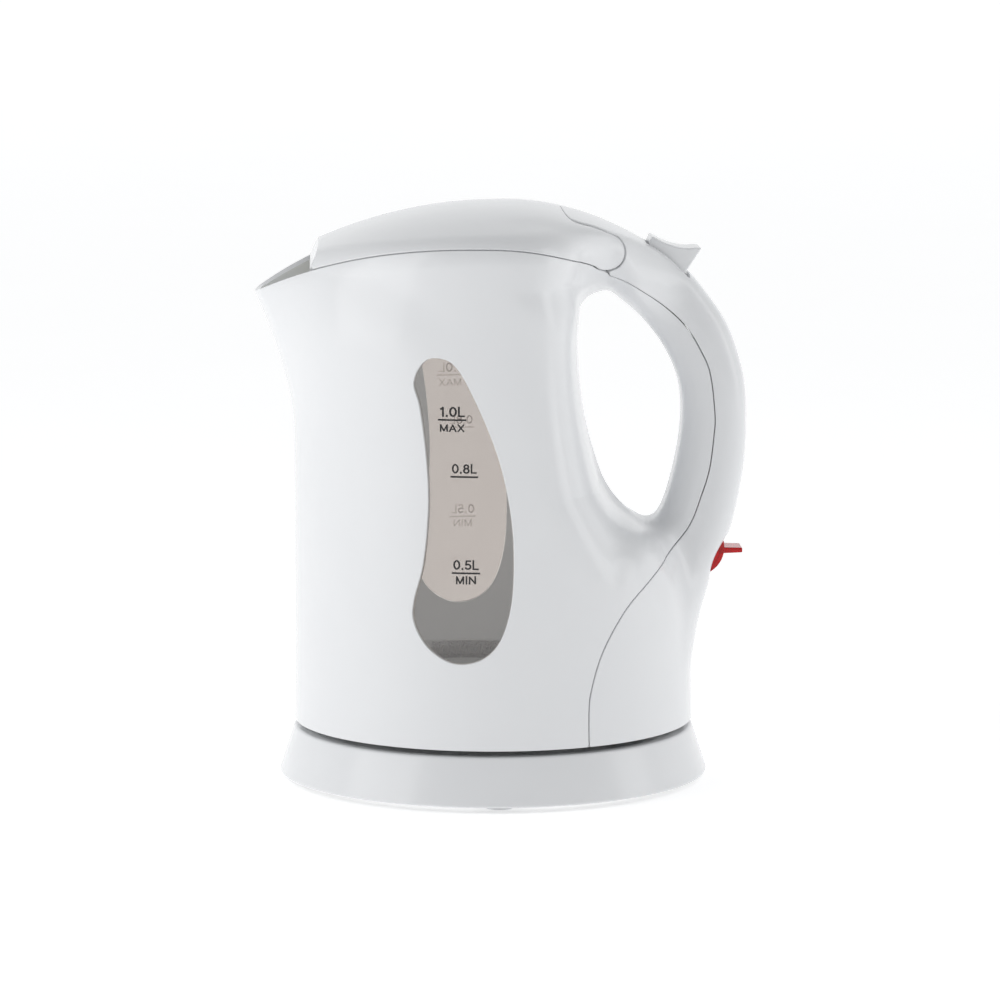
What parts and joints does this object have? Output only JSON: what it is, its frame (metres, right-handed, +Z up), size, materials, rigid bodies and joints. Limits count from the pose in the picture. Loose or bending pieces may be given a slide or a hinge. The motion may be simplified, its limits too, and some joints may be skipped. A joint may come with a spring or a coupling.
{
  "type": "electric kettle",
  "caption": "Cordless electric kettle: round white jug with moulded handle, side water windows, hinged lid, thumb lever and rear rocker switch, on a separate power base.",
  "frame": {"origin": "centre of the footprint's bounding box, at the level of the table under the feet", "axes": "+Z up, spout towards -X, handle towards +X, the jug's right-hand window towards -Y"},
  "size_m": [0.1621, 0.1418, 0.191],
  "materials": {
    "white_plastic": "glossy white moulded polypropylene",
    "smoke_window": "smoky translucent moulded plastic",
    "red_plastic": "clear red moulded plastic",
    "dark_plastic": "black phenolic",
    "natural_nylon": "unpigmented nylon",
    "grey_rubber": "soft grey rubber",
    "stainless": "satin stainless steel",
    "brass": "plain brass",
    "neon_glass": "small glass lamp"
  },
  "bodies": {
    "base": {"base_housing": "white_plastic", "base_plate": "white_plastic", "plug_tower": "dark_plastic", "cord_grommet": "grey_rubber", "rubber_foot_1": "grey_rubber", "rubber_foot_2": "grey_rubber", "rubber_foot_3": "grey_rubber", "rubber_foot_4": "grey_rubber", "base_screw_1": "stainless", "base_screw_2": "stainless", "base_screw_3": "stainless", "base_contact_live": "brass", "base_contact_earth": "brass", "base_contact_neutral": "brass"},
    "jug": {"jug_body": "white_plastic", "handle_cover": "white_plastic", "jug_bottom_cover": "white_plastic", "window_left": "smoke_window", "window_right": "smoke_window", "control_unit": "dark_plastic", "inlet_block": "dark_plastic", "spout_filter": "natural_nylon", "steam_pipe": "natural_nylon", "element_gasket": "grey_rubber", "heating_element": "stainless", "steam_disc": "stainless", "lid_hinge_pin": "stainless", "thumb_lever_pin": "stainless", "rocker_pin": "stainless", "jug_screw_1": "stainless", "jug_screw_2": "stainless", "jug_screw_3": "stainless", "element_head": "brass", "inlet_pin_live": "brass", "inlet_pin_earth": "brass", "inlet_pin_neutral": "brass", "neon_lamp": "neon_glass"},
    "lid": {"lid_cover": "white_plastic", "lid_inner_plate": "white_plastic"},
    "thumb_lever": {"thumb_lever": "white_plastic"},
    "rocker_switch": {"rocker_switch": "red_plastic"}
  },
  "joints": [
    {"name": "jug_lift", "type": "slide", "parent": "base", "child": "jug", "axis": [0, 0, 1], "range_m": [0, 0.06]},
    {"name": "lid_hinge", "type": "hinge", "parent": "jug", "child": "lid", "pos_m": [0.0335, 0, 0.1765], "axis": [0, 1, 0], "range_deg": [0, 60]},
    {"name": "thumb_press", "type": "hinge", "parent": "jug", "child": "thumb_lever", "pos_m": [0.051, 0, 0.1682], "axis": [0, 1, 0], "range_deg": [0, 7], "stiffness_Nm_per_rad": 0.3},
    {"name": "switch_rock", "type": "hinge", "parent": "jug", "child": "rocker_switch", "pos_m": [0.0645, 0, 0.0766], "axis": [0, 1, 0], "range_deg": [0, 14]}
  ]
}
